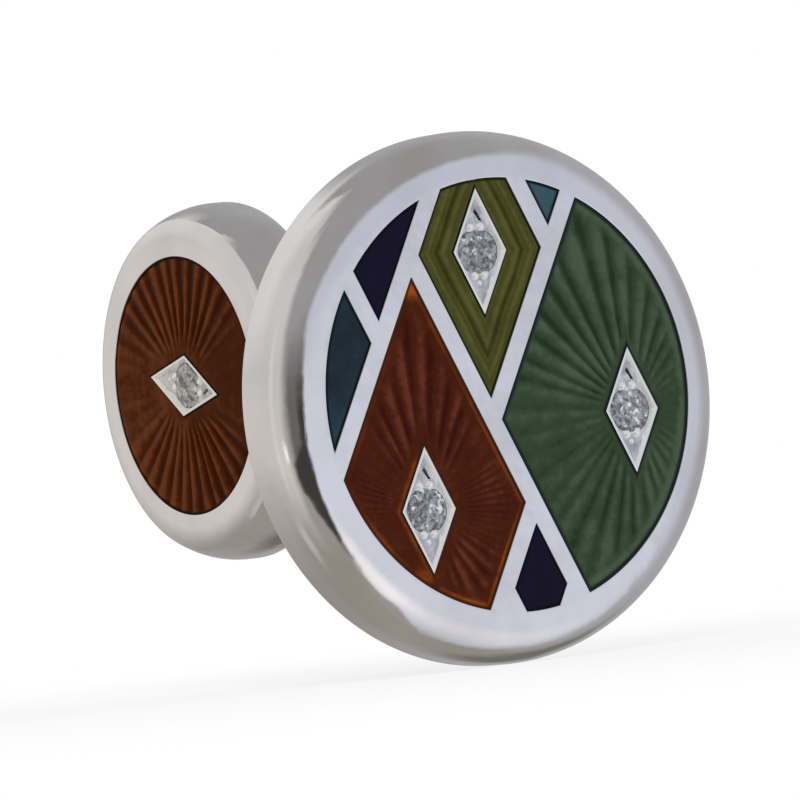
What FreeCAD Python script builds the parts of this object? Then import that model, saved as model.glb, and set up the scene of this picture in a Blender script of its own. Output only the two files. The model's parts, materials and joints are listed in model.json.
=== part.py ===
# A round cufflink: an enamelled silver front, a post, and a smaller enamelled back that swivels on the post.
# Sizes are in millimetres and angles in degrees. The origin is the centre of the front face, which looks
# towards -Y. The post runs from it towards +Y, and +Z is up, along the hinge pin.

import FreeCAD, Part
import os

# Driving sizes
SIZES = {
    # Front head
    "front_radius": 9.0,
    "front_edge_round": 1.6,
    "front_rim_flat": 0.11,
    "front_rear_round": 0.12,
    "front_wall": 0.9,
    "front_cavity": 0.7,
    # Back head
    "back_radius": 6.2,
    "back_edge_round": 1.3,
    "back_rim_flat": 0.43,
    "back_rear_round": 0.6,
    "back_wall": 1.0,
    "back_cavity": 0.98,
    # Plates that close the heads from behind
    "plate_thickness": 0.6,
    "plate_ledge": 0.4,
    "plate_gap": 0.02,
    # Enamel cells and the lozenge lattice that parts them
    "cell_depth": 0.4,
    "enamel_shift": 0.045,
    "band_width": 0.65,
    "lozenge_ratio": 2.0,
    "pitches_per_radius": 2.892,
    "falling_stretch": 1.01,
    "rising_phase": -0.099,
    "falling_phase": -0.385,
    "front_turn": 2.15,
    "back_turn": 102.2,
    # Round brilliants
    "stone_table_radius": 0.43,
    "stone_sink": 0.04,
    "stone_crown": 0.22,
    "stone_girdle": 0.04,
    "stone_pavilion": 0.62,
    # Lozenge settings
    "setting_share": 0.381,
    "setting_margin": 0.05,
    "setting_border": 0.16,
    "setting_floor": 0.1,
    "setting_seat_gap": 0.02,
    "grain_radius": 0.2,
    "grain_reach": 0.1,
    "metal_under_setting": 0.2,
    # Post
    "post_radius": 1.1,
    "post_reach": 11.1,
    "post_rise": 1.6,
    "foot_radius": 1.9,
    "foot_height": 0.7,
    "spigot_radius": 0.7,
    "spigot_gap": 0.02,
    # Hinge
    "tongue_thickness": 1.2,
    "cam_drop": 0.12,
    "pin_radius": 0.5,
    "pin_gap": 0.03,
    "pin_head_radius": 0.8,
    "pin_head_height": 0.2,
    "ear_wall": 0.7,
    "ear_thickness": 0.7,
    "ear_gap": 0.06,
    "swing_gap": 0.3,
    "clevis_base": 0.35,
    "spring_thickness": 0.15,
    "rest_swivel": -90.0,
}

# Sizes worked out from them, in the order in which they depend on each other
WORKED = {
    "lean": "atan(1 / Sizes.lozenge_ratio)",
    "rising_turn": "Worked.lean + Sizes.front_turn * 1deg",
    "falling_turn": "Sizes.front_turn * 1deg - Worked.lean",
    "back_rising_turn": "Worked.lean + Sizes.back_turn * 1deg",
    "back_falling_turn": "Sizes.back_turn * 1deg - Worked.lean",
    "stone_depth": "Sizes.stone_crown + Sizes.stone_girdle + Sizes.stone_pavilion",
    "tray_depth": "Sizes.stone_sink + Sizes.stone_crown",
    "setting_depth": "Sizes.stone_sink + Worked.stone_depth + Sizes.setting_floor",
    "face_plate": "Worked.setting_depth + Sizes.metal_under_setting",
    "front_thickness": "Worked.face_plate + Sizes.front_cavity + Sizes.plate_thickness",
    "back_thickness": "Worked.face_plate + Sizes.back_cavity + Sizes.plate_thickness",
    "front_enamel_radius": "Sizes.front_radius - Sizes.front_edge_round - Sizes.front_rim_flat",
    "back_enamel_radius": "Sizes.back_radius - Sizes.back_edge_round - Sizes.back_rim_flat",
    "rising_pitch": "Worked.front_enamel_radius / Sizes.pitches_per_radius",
    "falling_pitch": "Worked.rising_pitch * Sizes.falling_stretch",
    "setting_half": "Sizes.setting_share * Worked.rising_pitch",
    "tray_half": "Worked.setting_half - Sizes.setting_border",
    "stone_radius": "Worked.tray_half - Sizes.setting_margin",
    "grain_distance": "Worked.stone_radius + Sizes.grain_reach",
    "slab_length": "4 * Sizes.front_radius",
    "pin_y": "Worked.front_thickness + Sizes.post_reach",
    "ear_radius": "Sizes.pin_radius + Sizes.ear_wall",
    "shoulder_y": "Worked.pin_y - Worked.ear_radius - Sizes.swing_gap",
    "cam_half": "Sizes.post_radius - Sizes.cam_drop",
    "back_pin_y": "Worked.back_thickness + Sizes.post_radius + Sizes.swing_gap",
    "ear_inside": "Sizes.tongue_thickness / 2 + Sizes.ear_gap",
    "ear_outside": "Worked.ear_inside + Sizes.ear_thickness",
}

# Each enamel panel of the front lies between two rising and two falling bands of the lattice, counted from
# the bands next to the centre, and ends at the enamel circle.
PANELS = {
    "enamel_green": (0, 4, 0, 4),
    "enamel_brown": (-2, 1, -3, 0),
    "enamel_olive": (-2, 0, 0, 2),
    "enamel_navy_upper": (-5, -2, -1, 2),
    "enamel_navy_lower": (1, 2, -1, 0),
    "enamel_teal_side": (-5, -2, -5, -1),
    "enamel_teal_top": (-2, 0, 2, 6),
}

# The panels with a stone at the middle of their lozenge
JEWELLED = ("green", "brown", "olive")

X_AXIS = FreeCAD.Vector(1, 0, 0)
Y_AXIS = FreeCAD.Vector(0, 1, 0)
Z_AXIS = FreeCAD.Vector(0, 0, 1)
ALONG_POST = (X_AXIS, "-90")

document = FreeCAD.newDocument("Cufflink")


# The two sheets

def fill_sheet(name, entries):
    """A sheet with one named cell for each entry."""
    sheet = document.addObject("Spreadsheet::Sheet", name)
    for row, (alias, content) in enumerate(entries.items(), 1):
        sheet.set(f"A{row}", alias)
        sheet.set(f"B{row}", content)
        sheet.setAlias(f"B{row}", alias)
        document.recompute()


fill_sheet("Sizes", {alias: str(value) for alias, value in SIZES.items()})
fill_sheet("Worked", {alias: "=" + formula for alias, formula in WORKED.items()})


# Ways to make, place and join solids

def put(piece, base, turn):
    """Ties a piece's place to formulas, and its turn about one axis to another."""
    axis, angle = turn
    piece.Placement = FreeCAD.Placement(FreeCAD.Vector(), FreeCAD.Rotation(axis, 1))
    for letter, formula in zip("xyz", base):
        piece.setExpression("Placement.Base." + letter, formula)
    piece.setExpression("Placement.Rotation.Angle", angle)


def primitive(kind, name, sizes, base=("0", "0", "0"), turn=(Z_AXIS, "0")):
    piece = document.addObject("Part::" + kind, name)
    for size, formula in sizes.items():
        piece.setExpression(size, formula)
    put(piece, base, turn)
    return piece


def block(name, low, high):
    """A box between two corners."""
    sides = zip(("Length", "Width", "Height"), low, high)
    return primitive("Box", name, {side: f"({top}) - ({bottom})" for side, bottom, top in sides}, low)


def rod(name, radius, start, end, x="0", z="0"):
    """A cylinder along the post, from one distance to another."""
    sizes = {"Radius": radius, "Height": f"({end}) - ({start})"}
    return primitive("Cylinder", name, sizes, (x, start, z), ALONG_POST)


def taper(name, first_radius, last_radius, start, end, x="0", z="0"):
    """A cone along the post, from one distance to another."""
    sizes = {"Radius1": first_radius, "Radius2": last_radius, "Height": f"({end}) - ({start})"}
    return primitive("Cone", name, sizes, (x, start, z), ALONG_POST)


def upright(name, radius, low, high, y):
    """A cylinder along the hinge pin."""
    sizes = {"Radius": radius, "Height": f"({high}) - ({low})"}
    return primitive("Cylinder", name, sizes, ("0", y, low))


def several(kind, name, shapes):
    result = document.addObject("Part::Multi" + kind, name)
    result.Shapes = shapes
    result.Refine = True
    return result


def cut(name, base, tool):
    result = document.addObject("Part::Cut", name)
    result.Base = base
    result.Tool = tool
    return result


# Heads

def rim_edge(solid, height):
    """The name of a turned solid's round edge at one height."""
    for number, edge in enumerate(solid.Shape.Edges, 1):
        if edge.BoundBox.ZLength < 1e-6 and abs(edge.BoundBox.ZMin - height) < 1e-6:
            return f"Edge{number}"
    raise RuntimeError("no round edge at that height")


def round_edge(body, name, base, height, radius):
    """Rounds the edge of a turned body at one height."""
    fillet = body.newObject("PartDesign::Fillet", name)
    fillet.Base = (base, [rim_edge(base, height)])
    fillet.setExpression("Radius", radius)
    document.recompute()
    return fillet


def hollow_out(body, name, radius, start, end):
    """A round pocket in a turned body."""
    pocket = body.newObject("PartDesign::SubtractiveCylinder", name)
    pocket.setExpression("Radius", radius)
    pocket.setExpression("Height", f"({end}) - ({start})")
    pocket.setExpression("Placement.Base.z", start)
    document.recompute()


def turned_shell(head):
    """The hollow round case of a head, before its cells are sunk, face towards -Y."""
    radius = f"Sizes.{head}_radius"
    thickness = f"Worked.{head}_thickness"
    seat_radius = f"{radius} - Sizes.{head}_wall"
    body = document.addObject("PartDesign::Body", f"{head}_shell")
    disc = body.newObject("PartDesign::AdditiveCylinder", f"{head}_disc")
    disc.setExpression("Radius", radius)
    disc.setExpression("Height", thickness)
    document.recompute()
    height = disc.Height.Value
    face_round = round_edge(body, f"{head}_face_round", disc, 0, f"Sizes.{head}_edge_round")
    round_edge(body, f"{head}_rear_round", face_round, height, f"Sizes.{head}_rear_round")
    hollow_out(body, f"{head}_plate_seat", seat_radius, f"{thickness} - Sizes.plate_thickness", thickness)
    hollow_out(body, f"{head}_hollow", f"{seat_radius} - Sizes.plate_ledge", "Worked.face_plate", thickness)
    put(body, ("0", "0", "0"), ALONG_POST)
    return body


def closing_plate(name, head):
    """The disc that closes a head from behind."""
    radius = f"Sizes.{head}_radius - Sizes.{head}_wall - Sizes.plate_gap"
    thickness = f"Worked.{head}_thickness"
    return rod(name, radius, f"{thickness} - Sizes.plate_thickness", thickness)


# Lozenge lattice, settings and stones

def slab(name, low, high, depth, angle):
    """A straight slab of the pattern, from low to high across it, sunk from the face."""
    half = "Worked.slab_length / 2"
    x = f"({low}) * cos({angle}) - {half} * sin({angle})"
    z = f"-({low}) * sin({angle}) - {half} * cos({angle})"
    sizes = {"Length": f"({high}) - ({low})", "Width": depth, "Height": "Worked.slab_length"}
    return primitive("Box", name, sizes, (x, "0", z), (Y_AXIS, angle))


def lozenge(name, rising, falling, depth, angles):
    """The overlap of a rising and a falling slab, each given as its low and high side."""
    first = slab(name + "_rising", *rising, depth, angles[0])
    second = slab(name + "_falling", *falling, depth, angles[1])
    return several("Common", name, [first, second])


def lattice_offset(family, index):
    """How far a band's centre, or a place between bands, lies from the origin."""
    return f"(Sizes.{family}_phase + ({index})) * Worked.{family}_pitch"


def panel_middle(panel):
    """Offsets of a panel's middle across the rising and the falling bands."""
    rising_low, rising_high, falling_low, falling_high = PANELS[panel]
    rising = lattice_offset("rising", (rising_low + rising_high) / 2)
    falling = lattice_offset("falling", (falling_low + falling_high) / 2)
    return rising, falling


def place_on_face(rising, falling):
    """The x and z of a point of the front's lattice."""
    across = f"(({rising}) + ({falling})) / (2 * cos(Worked.lean))"
    above = f"(({falling}) - ({rising})) / (2 * sin(Worked.lean))"
    x = f"({across}) * cos(Sizes.front_turn) + ({above}) * sin(Sizes.front_turn)"
    z = f"({above}) * cos(Sizes.front_turn) - ({across}) * sin(Sizes.front_turn)"
    return x, z


def band_gap(family, low, high):
    """The clear width between two bands."""
    half_band = "Sizes.band_width / 2"
    return f"{lattice_offset(family, low)} + {half_band}", f"{lattice_offset(family, high)} - {half_band}"


def about(middle, half):
    return f"{middle} - {half}", f"{middle} + {half}"


def brilliant(name, x, z, gap):
    """A round brilliant below the face, or with a gap the room that it takes in its setting."""
    crown_top = "Sizes.stone_sink"
    girdle_top = f"{crown_top} + Sizes.stone_crown"
    girdle_low = f"{girdle_top} + Sizes.stone_girdle"
    culet = f"{girdle_low} + Sizes.stone_pavilion + {gap}"
    radius = f"Worked.stone_radius + {gap}"
    table = f"Sizes.stone_table_radius + {gap}"
    crown = taper(name + "_crown", table, radius, crown_top, girdle_top, x, z)
    girdle = rod(name + "_girdle", radius, girdle_top, girdle_low, x, z)
    pavilion = taper(name + "_pavilion", radius, "0", girdle_low, culet, x, z)
    return several("Fuse", name, [crown, girdle, pavilion])


def grain(name, x, z, turn, side):
    """A bead of metal on the setting's long axis that holds the stone's edge."""
    base = (
        f"{x} + {side} * Worked.grain_distance * sin({turn})",
        "Worked.tray_depth",
        f"{z} + {side} * Worked.grain_distance * cos({turn})",
    )
    return primitive("Sphere", name, {"Radius": "Sizes.grain_radius"}, base)


def jewel(name, rising, falling, angles, x, z, turn):
    """The outline of a lozenge setting, its metal and its stone."""
    outline = lozenge(
        f"{name}_outline",
        about(rising, "Worked.setting_half"),
        about(falling, "Worked.setting_half"),
        "Worked.setting_depth",
        angles,
    )
    tray = lozenge(
        f"{name}_tray",
        about(rising, "Worked.tray_half"),
        about(falling, "Worked.tray_half"),
        "Worked.tray_depth",
        angles,
    )
    grains = [grain(f"{name}_grain_{end}", x, z, turn, side) for end, side in (("first", 1), ("second", -1))]
    dish = cut(f"{name}_dish", outline, tray)
    beaded = several("Fuse", f"{name}_beaded", [dish, *grains])
    seat = brilliant(f"{name}_seat", x, z, "Sizes.setting_seat_gap")
    metal = cut(f"{name}_metal", beaded, seat)
    stone = brilliant(f"{name}_stone", x, z, "0")
    return outline, metal, stone


# Front head: case, plate, panels, settings and stones

def build_front():
    angles = ("Worked.rising_turn", "Worked.falling_turn")
    face = rod(
        "front_enamel_disc",
        "Worked.front_enamel_radius",
        "0",
        "Sizes.cell_depth",
        x="Sizes.enamel_shift",
    )
    nodes = {}
    sunk = []
    for panel, (rising_low, rising_high, falling_low, falling_high) in PANELS.items():
        rising = band_gap("rising", rising_low, rising_high)
        falling = band_gap("falling", falling_low, falling_high)
        bounds = lozenge(panel + "_bounds", rising, falling, "Sizes.cell_depth", angles)
        nodes[panel] = several("Common", panel + "_cell", [bounds, face])
        sunk.append(nodes[panel])
    for colour in JEWELLED:
        panel = "enamel_" + colour
        middle = panel_middle(panel)
        x, z = place_on_face(*middle)
        outline, metal, stone = jewel(colour, *middle, angles, x, z, "Sizes.front_turn")
        nodes[panel] = cut(panel + "_fill", nodes[panel], outline)
        nodes["setting_" + colour] = metal
        nodes["stone_" + colour] = stone
        sunk.append(outline)
    recesses = several("Fuse", "front_recesses", sunk)
    nodes["front_case"] = cut("front_case_metal", turned_shell("front"), recesses)
    spigot_hole = rod(
        "spigot_hole",
        "Sizes.spigot_radius + Sizes.spigot_gap",
        "Worked.front_thickness - Sizes.plate_thickness",
        "Worked.front_thickness",
        z="Sizes.post_rise",
    )
    nodes["front_plate"] = cut("front_plate_disc", closing_plate("front_plate_blank", "front"), spigot_hole)
    return nodes


# Post: spigot, flared foot, round shaft, and a flat tongue with an eye that is a four-sided cam

def build_post():
    rise = "Sizes.post_rise"
    low = f"{rise} - Sizes.tongue_thickness / 2"
    high = f"{rise} + Sizes.tongue_thickness / 2"
    front = "Worked.front_thickness"
    spigot = rod("post_spigot", "Sizes.spigot_radius", f"{front} - Sizes.plate_thickness", front, z=rise)
    foot_end = f"{front} + Sizes.foot_height"
    foot = taper("post_foot", "Sizes.foot_radius", "Sizes.post_radius", front, foot_end, z=rise)
    shaft = rod("post_shaft", "Sizes.post_radius", front, "Worked.shoulder_y", z=rise)
    round_stock = rod(
        "tongue_stock",
        "Sizes.post_radius",
        "Worked.shoulder_y",
        "Worked.pin_y + Sizes.post_radius",
        z=rise,
    )
    stem_flats = block(
        "tongue_flats",
        ("-Worked.cam_half", "Worked.shoulder_y", low),
        ("Worked.cam_half", "Worked.pin_y", high),
    )
    eye_flats = block(
        "eye_flats",
        ("-Worked.cam_half", "Worked.pin_y - Worked.cam_half", low),
        ("Worked.cam_half", "Worked.pin_y + Worked.cam_half", high),
    )
    eye_round = upright("eye_round", "Sizes.post_radius", low, high, "Worked.pin_y")
    stem = several("Common", "tongue_stem", [stem_flats, round_stock])
    eye = several("Common", "tongue_eye", [eye_flats, eye_round, round_stock])
    whole = several("Fuse", "post_whole", [spigot, foot, shaft, stem, eye])
    bore = upright("eye_bore", "Sizes.pin_radius + Sizes.pin_gap", low, high, "Worked.pin_y")
    return {"post": cut("post_metal", whole, bore)}


# Back head, drawn with its face at the origin like the front, and swung to its rest place afterwards

def build_clevis():
    """Two ears on a base that is let into the back plate."""
    surface = "Worked.back_thickness"
    half_width = "Worked.ear_radius"
    outside = "Worked.ear_outside"
    base = block(
        "clevis_base",
        (f"-{half_width}", f"{surface} - Sizes.clevis_base", f"-{outside}"),
        (half_width, surface, outside),
    )
    pieces = [base]
    spans = {"upper": ("Worked.ear_inside", outside), "lower": (f"-{outside}", "-Worked.ear_inside")}
    for name, (low, high) in spans.items():
        leg = block(f"{name}_leg", (f"-{half_width}", surface, low), (half_width, "Worked.back_pin_y", high))
        knuckle = upright(f"{name}_knuckle", half_width, low, high, "Worked.back_pin_y")
        pieces += [leg, knuckle]
    whole = several("Fuse", "clevis_whole", pieces)
    bore = upright("clevis_bore", "Sizes.pin_radius", f"-{outside}", outside, "Worked.back_pin_y")
    return base, cut("clevis_metal", whole, bore)


def build_pin():
    """A rivet through both ears, with a low tapered head at each end."""
    outside = "Worked.ear_outside"
    place = ("0", "Worked.back_pin_y", outside)
    head = {
        "Radius1": "Sizes.pin_head_radius",
        "Radius2": "Sizes.pin_radius",
        "Height": "Sizes.pin_head_height",
    }
    shank = upright("pin_shank", "Sizes.pin_radius", f"-{outside}", outside, "Worked.back_pin_y")
    upper = primitive("Cone", "pin_upper_head", head, place)
    lower = primitive("Cone", "pin_lower_head", head, (*place[:2], f"-{outside}"), (X_AXIS, "180"))
    return several("Fuse", "pin_metal", [shank, upper, lower])


def build_back():
    angles = ("Worked.back_rising_turn", "Worked.back_falling_turn")
    outline, metal, stone = jewel("back", "0", "0", angles, "0", "0", "Sizes.back_turn")
    cell = rod("back_cell", "Worked.back_enamel_radius", "0", "Sizes.cell_depth")
    recesses = several("Fuse", "back_recesses", [cell, outline])
    base, clevis = build_clevis()
    surface = "Worked.back_thickness"
    half_leaf = "Sizes.tongue_thickness / 2"
    leaf = block(
        "spring_leaf",
        ("-Worked.ear_radius", surface, f"-{half_leaf}"),
        ("Worked.ear_radius", f"{surface} + Sizes.spring_thickness", half_leaf),
    )
    round_ends = rod("spring_ends", "Worked.ear_radius", surface, f"{surface} + Sizes.spring_thickness")
    nodes = {
        "back_case": cut("back_case_metal", turned_shell("back"), recesses),
        "back_enamel": cut("back_enamel_fill", cell, outline),
        "back_setting": metal,
        "back_stone": stone,
        "back_plate": cut("back_plate_disc", closing_plate("back_plate_blank", "back"), base),
        "hinge_clevis": clevis,
        "hinge_pin": build_pin(),
        "click_spring": several("Common", "spring_metal", [leaf, round_ends]),
    }
    for piece in nodes.values():
        swing(piece)
    return nodes


def swing(piece):
    """Turns a finished piece of the back head about the hinge pin to its rest place."""
    angle = "Sizes.rest_swivel"
    base = (
        f"Worked.back_pin_y * sin({angle})",
        f"Worked.pin_y - Worked.back_pin_y * cos({angle})",
        "Sizes.post_rise",
    )
    put(piece, base, (Z_AXIS, angle))


# Checks and files

def check_and_write(nodes):
    document.recompute()
    failed = [piece.Name for piece in document.Objects if {"Invalid", "Error"} & set(piece.State)]
    if failed:
        raise RuntimeError("failed objects: " + ", ".join(failed))
    for name, piece in nodes.items():
        piece.Label = name
        if piece.Shape.isNull() or not piece.Shape.isValid() or len(piece.Shape.Solids) != 1:
            raise RuntimeError("not one valid solid: " + name)
    os.makedirs("parts", exist_ok=True)
    for name, piece in nodes.items():
        piece.Shape.exportStep(f"parts/{name}.step")
        print(name, round(piece.Shape.Volume, 4))


check_and_write({**build_front(), **build_post(), **build_back()})
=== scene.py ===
"""Looks of the cufflink: engraved enamel, set stones, silver, a studio with soft light, and the camera."""

import json
import math

import bmesh
import bpy
import numpy as np
from mathutils import Matrix, Vector
from mathutils.geometry import delaunay_2d_cdt


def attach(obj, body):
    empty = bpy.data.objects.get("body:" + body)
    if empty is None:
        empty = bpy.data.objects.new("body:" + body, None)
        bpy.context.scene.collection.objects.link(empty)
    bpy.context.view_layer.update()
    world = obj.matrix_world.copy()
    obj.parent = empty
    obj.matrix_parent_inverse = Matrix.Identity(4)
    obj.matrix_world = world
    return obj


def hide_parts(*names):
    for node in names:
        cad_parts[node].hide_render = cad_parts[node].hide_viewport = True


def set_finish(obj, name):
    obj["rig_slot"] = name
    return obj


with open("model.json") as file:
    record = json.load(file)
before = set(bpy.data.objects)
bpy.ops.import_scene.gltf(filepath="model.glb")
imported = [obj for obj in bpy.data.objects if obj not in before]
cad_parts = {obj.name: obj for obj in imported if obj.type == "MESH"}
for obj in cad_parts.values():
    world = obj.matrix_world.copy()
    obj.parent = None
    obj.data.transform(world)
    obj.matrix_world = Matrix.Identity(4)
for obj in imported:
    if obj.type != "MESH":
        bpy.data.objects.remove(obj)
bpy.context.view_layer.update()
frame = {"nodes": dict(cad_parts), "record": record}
nodes = frame["nodes"]

MM = 0.001
FULL_TURN = 2 * math.pi

# Sizes of the pattern, in millimetres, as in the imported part
FRONT_ENAMEL_RADIUS = 7.29
FRONT_HUB = np.array((0.045, 0.0))
BACK_ENAMEL_RADIUS = 4.47
RISING_PITCH = FRONT_ENAMEL_RADIUS / 2.892
FALLING_PITCH = 1.01 * RISING_PITCH
BAND_WIDTH = 0.65
RISING_PHASE = -0.099
FALLING_PHASE = -0.385
LEAN = math.atan(0.5)
FRONT_TURN = math.radians(2.15)
BACK_TURN = math.radians(102.2)
CELL_DEPTH = 0.4
SETTING_HALF = 0.381 * RISING_PITCH
SETTING_DEPTH = 1.02
STONE_RADIUS = 0.785
STONE_SINK = 0.04
BACK_FACE = (-4.2, 13.62, 1.6)
# Room left below enamel and settings
FLOOR_GAP = 0.01

# Panels of the front: the bands that bound them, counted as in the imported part
PANELS = {
    "green": (0, 4, 0, 4),
    "brown": (-2, 1, -3, 0),
    "olive": (-2, 0, 0, 2),
    "navy_upper": (-5, -2, -1, 2),
    "navy_lower": (1, 2, -1, 0),
    "teal_side": (-5, -2, -5, -1),
    "teal_top": (-2, 0, 2, 6),
}
JEWELLED = ("green", "brown", "olive")


# Small helpers for shapes

PARALLEL = 1e-12
CORNER_STEPS = 3601
CORNER_HALVINGS = 40
MIDDLE_STEPS = 241
# Angles nearer together than this, in radians, would make slivers
LEAST_TURN = 0.0003
# Edges that bend more than this, in degrees, stay sharp
SMOOTH_ANGLE = 50
CASE_SMOOTH_ANGLE = 35


def rise(low, high, value):
    """A smooth rise from 0 to 1 between two bounds, or a fall where the higher bound comes first."""
    share = np.clip((value - low) / (high - low), 0.0, 1.0)
    return share * share * (3.0 - 2.0 * share)


def window(value, middle, half, soft):
    """1 within half of the middle, fading to 0 over a soft edge."""
    return 1.0 - rise(half - soft, half + soft, np.abs(value - middle))


def on_front(x, depth, z):
    """A point of the front face, with its depth below the face, in the part's frame."""
    return np.stack([x, depth, z], -1)


def on_back(x, depth, z):
    """A point of the back face as it lies at rest, in the part's frame."""
    return np.stack([BACK_FACE[0] + depth, BACK_FACE[1] - x, BACK_FACE[2] + z], -1)


# Turn of the pattern, place of its points, and body of each head
FRONT = (FRONT_TURN, on_front, "front")
BACK = (BACK_TURN, on_back, "back")


class Region:
    """A convex piece of a face: between lines and inside a circle, seen from a point inside it."""

    def __init__(self, turn, rising, falling, radius=None, hub=(0.0, 0.0)):
        self.turn = turn
        self.hub = np.asarray(hub)
        angles = (turn + LEAN, turn - LEAN)
        self.normals = [np.array((math.cos(a), -math.sin(a))) for a in angles]
        self.spans = (rising, falling)
        self.radius = radius

    def middle(self):
        """The point half way between the lines."""
        halves = [sum(span) / 2 for span in self.spans]
        return np.linalg.solve(np.array(self.normals), np.array(halves))

    def widened(self, width):
        """The same piece with every side moved outwards."""
        spans = [(low - width, high + width) for low, high in self.spans]
        return Region(self.turn, *spans, self.radius + width if self.radius else None, self.hub)

    def reaches(self, centre, directions):
        """How far each side lies from the centre along each direction."""
        found = []
        for normal, (low, high) in zip(self.normals, self.spans):
            slope = directions @ normal
            start = centre @ normal
            slope = np.where(np.abs(slope) < PARALLEL, PARALLEL, slope)
            found.append(np.where(slope > 0, (high - start) / slope, np.inf))
            found.append(np.where(slope < 0, (low - start) / slope, np.inf))
        if self.radius:
            offset = centre - self.hub
            along = directions @ offset
            found.append(np.sqrt(along ** 2 - offset @ offset + self.radius ** 2) - along)
        return np.array(found)

    def outline(self, centre, directions):
        """How far the nearest side lies from the centre along each direction."""
        return np.min(self.reaches(centre, directions), axis=0)

    def inside(self, points):
        """Distance from each point to the nearest side, positive inside."""
        found = []
        for normal, (low, high) in zip(self.normals, self.spans):
            offset = points @ normal
            found += [offset - low, high - offset]
        if self.radius:
            found.append(self.radius - np.linalg.norm(points - self.hub, axis=-1))
        return np.min(found, axis=0)

    def corners(self, centre):
        """Angles at which another side becomes the nearest."""
        grid = np.linspace(0.0, FULL_TURN, CORNER_STEPS)
        nearest = np.argmin(self.reaches(centre, heading(grid)), axis=0)
        found = []
        for index in np.nonzero(nearest[1:] != nearest[:-1])[0]:
            low, high = grid[index], grid[index + 1]
            for _ in range(CORNER_HALVINGS):
                half = (low + high) / 2
                same = np.argmin(self.reaches(centre, heading(np.array([half])))[:, 0]) == nearest[index]
                low, high = (half, high) if same else (low, half)
            found.append(low)
        return found


def heading(angles):
    """Directions on a face, with the angle counted from up towards the right."""
    return np.stack([np.sin(angles), np.cos(angles)], -1)


def even_angles(count):
    return np.linspace(0.0, FULL_TURN, count, endpoint=False)


def angles_round(count, turn, corners):
    """Even angles once round and those of corners, in order, without any that nearly double the next."""
    angles = np.concatenate([even_angles(count) + turn, corners])
    angles = np.unique(np.mod(np.round(angles, 9), FULL_TURN))
    apart = np.diff(angles, append=angles[0] + FULL_TURN)
    return angles[apart > LEAST_TURN]


def row_faces(upper, lower, columns):
    """Quads between two rows of points that close on themselves, from the first point of each row."""
    faces = []
    for column in range(columns):
        following = (column + 1) % columns
        faces.append((upper + column, upper + following, lower + following, lower + column))
    return faces


def grid_faces(rows, columns):
    """Quads of a grid of points, row by row."""
    faces = []
    for row in range(rows - 1):
        faces += row_faces(row * columns, (row + 1) * columns, columns)
    return faces


def ring_faces(rows, columns):
    """Quads of a grid whose last row is joined to its first, so that it has no edge."""
    return grid_faces(rows, columns) + row_faces((rows - 1) * columns, 0, columns)


def capped_faces(rows, columns):
    """Quads of a grid, and one face for each of its ends."""
    ends = [tuple(reversed(range(columns))), tuple(range((rows - 1) * columns, rows * columns))]
    return grid_faces(rows, columns) + ends


def counted_from(first, faces):
    """The same faces for points that follow others."""
    return [tuple(first + index for index in face) for face in faces]


def add_object(name, data):
    made = bpy.data.objects.new(name, data)
    bpy.context.scene.collection.objects.link(made)
    return made


pieces = {}


def make_piece(name, points, faces, body, slot, smooth_angle=None):
    """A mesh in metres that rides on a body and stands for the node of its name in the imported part."""
    mesh = bpy.data.meshes.new(name)
    mesh.from_pydata([tuple(p) for p in np.asarray(points) * MM], [], faces)
    mesh.validate()
    piece = add_object("visual_" + name, mesh)
    if smooth_angle:
        mesh.polygons.foreach_set("use_smooth", [True] * len(mesh.polygons))
        mesh.set_sharp_from_angle(angle=math.radians(smooth_angle))
    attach(piece, body)
    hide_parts(name)
    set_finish(piece, slot)
    pieces[name] = piece
    return piece


def add_values(piece, **values):
    """Keeps one number for each point of a mesh, which its material can use."""
    for key, numbers in values.items():
        layer = piece.data.attributes.new(key, "FLOAT", "POINT")
        layer.data.foreach_set("value", np.asarray(numbers, np.float32).ravel())


# Enamel

ENAMEL_RECESS = 0.02
ENAMEL_GAP = 0.008
# The rim of the enamel along the walls of its cell: how far it dips, where it starts and how wide it is. Its
# colour there is painted shade of the cell wall.
RIM_DIP = 0.03
RIM_START = 0.02
RIM_WIDTH = 0.17
RIM_WIDTHS = {"enamel_green": 0.25}
# The rim beside a setting is narrower by this factor
SETTING_RIM = 1.4
# Stands for the distance to a setting in a panel without one
NO_SETTING = 9.0
PINHOLE = 0.004

FLUTES = 36
FLUTE_PHASE = 2.0
FLUTE_FLANK = 0.3
ENAMEL_COLUMNS = 16 * FLUTES
# Rows of points from the inner to the outer edge, as shares of the way
ENAMEL_ROWS = np.concatenate([
    [0.0, 0.012, 0.03, 0.055],
    np.linspace(0.09, 0.91, 22),
    [0.945, 0.97, 0.988, 1.0],
])
# Unevenness of the cut rays: size in degrees, waves in a turn, and phase
UNEVENNESS = ((0.5, 11, 0.6), (0.4, 17, 1.9))
# Where the engraving starts and is full, from the setting and from the sides
ENGRAVED = {
    "green": ((0.15, 0.45), (0.05, 0.25)),
    "brown": ((0.25, 0.7), (0.15, 0.7)),
    "olive": ((0.03, 0.12), (0.03, 0.12)),
    "back": ((0.25, 0.95), (0.02, 0.12)),
}
# Deepest cut of the flutes, and their depth as a share of their width where they are narrow
FLUTE_CUTS = {"green": (0.08, 0.18), "brown": (0.06, 0.14), "back": (0.07, 0.16)}
# Strength of the green panel's rays by their angle in degrees, partly painted light: they fade where they run
# sideways, where the side light catches them least
GREEN_ANGLES = (-180, -165, -135, -105, -75, -45, -15, 15, 45, 75, 105, 135, 165, 180)
GREEN_STRENGTHS = (0.75, 0.75, 0.5, 0.22, 0.58, 0.95, 0.95, 0.78, 0.48, 0.16, 0.16, 0.46, 0.7, 0.75)
# Degrees by which those rays are turned everywhere, and besides in the lower left
GREEN_SHIFT = 1.0
LOWER_LEFT = (227.0, 45.0, 16.0)
LOWER_LEFT_SHIFT = 3.1
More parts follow.
